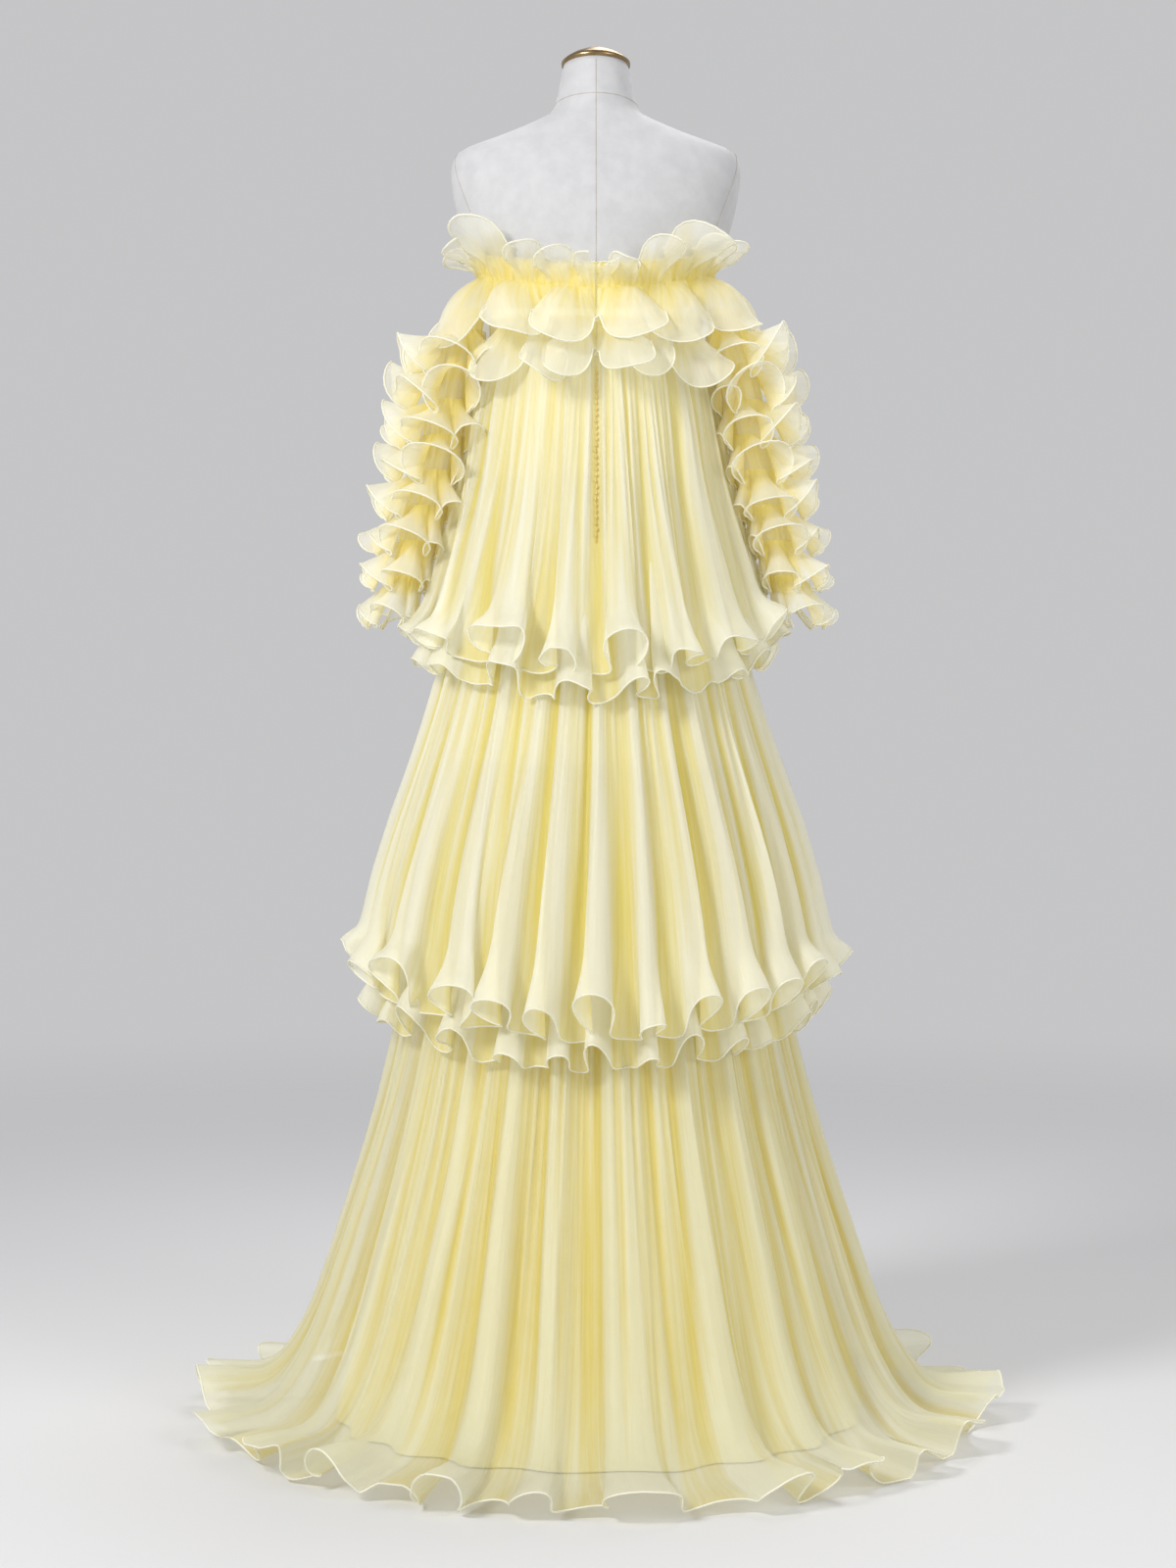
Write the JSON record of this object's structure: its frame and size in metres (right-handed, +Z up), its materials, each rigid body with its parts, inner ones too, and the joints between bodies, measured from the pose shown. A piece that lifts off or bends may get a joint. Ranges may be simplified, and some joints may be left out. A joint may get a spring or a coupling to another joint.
{
  "type": "tiered ruffle evening dress on a dress form",
  "caption": "Floor-length off-shoulder evening dress with fluted sheer tiers, a ruffled neckline and frilled sleeves, standing on a limbless linen dress form.",
  "frame": {"origin": "middle of the floor area that the dress covers, on the floor", "axes": "+Z up, +Y to the wearer's front, +X to the wearer's right; the pictured back faces -Y"},
  "size_m": [1.0332, 1.0594, 1.8043],
  "materials": {
    "organza": "sheer silk organza with a soft sheen",
    "lining": "matt opaque silk lining",
    "zip": "fine zip tape with golden stitches",
    "linen": "white linen cover, matt",
    "brass": "polished, slightly darkened",
    "steel": "satin grey paint"
  },
  "bodies": {
    "root": {"form_torso": "linen", "form_neck_cap": "brass", "form_pole": "steel", "form_base": "steel", "slip_bodice_front": "lining", "slip_bodice_back": "lining", "slip_hip_back_right": "lining", "slip_hip_front_right": "lining", "slip_hip_front_left": "lining", "slip_hip_back_left": "lining", "slip_skirt_back_right": "lining", "slip_skirt_front_right": "lining", "slip_skirt_front_left": "lining", "slip_skirt_back_left": "lining", "neckband": "organza", "tier_3_back_right": "organza", "tier_3_front_right": "organza", "tier_3_front_left": "organza", "tier_3_back_left": "organza", "tier_2_under_front": "organza", "tier_2_under_back": "organza", "tier_2_front": "organza", "tier_2_back": "organza", "tier_1_under_front": "organza", "tier_1_under_back": "organza", "tier_1_front": "organza", "tier_1_back_right": "organza", "tier_1_back_left": "organza", "back_zip": "zip", "neck_ruffle_upper": "organza", "neck_ruffle_lower_front": "organza", "neck_ruffle_lower_right": "organza", "neck_ruffle_lower_left": "organza", "sleeve_right": "organza", "sleeve_right_frill_1": "organza", "sleeve_right_frill_2": "organza", "sleeve_right_frill_3": "organza", "sleeve_right_frill_4": "organza", "sleeve_right_frill_5": "organza", "sleeve_right_frill_6": "organza", "sleeve_right_frill_7": "organza", "sleeve_right_frill_8": "organza", "sleeve_left": "organza", "sleeve_left_frill_1": "organza", "sleeve_left_frill_2": "organza", "sleeve_left_frill_3": "organza", "sleeve_left_frill_4": "organza", "sleeve_left_frill_5": "organza", "sleeve_left_frill_6": "organza", "sleeve_left_frill_7": "organza", "sleeve_left_frill_8": "organza"}
  },
  "joints": []
}
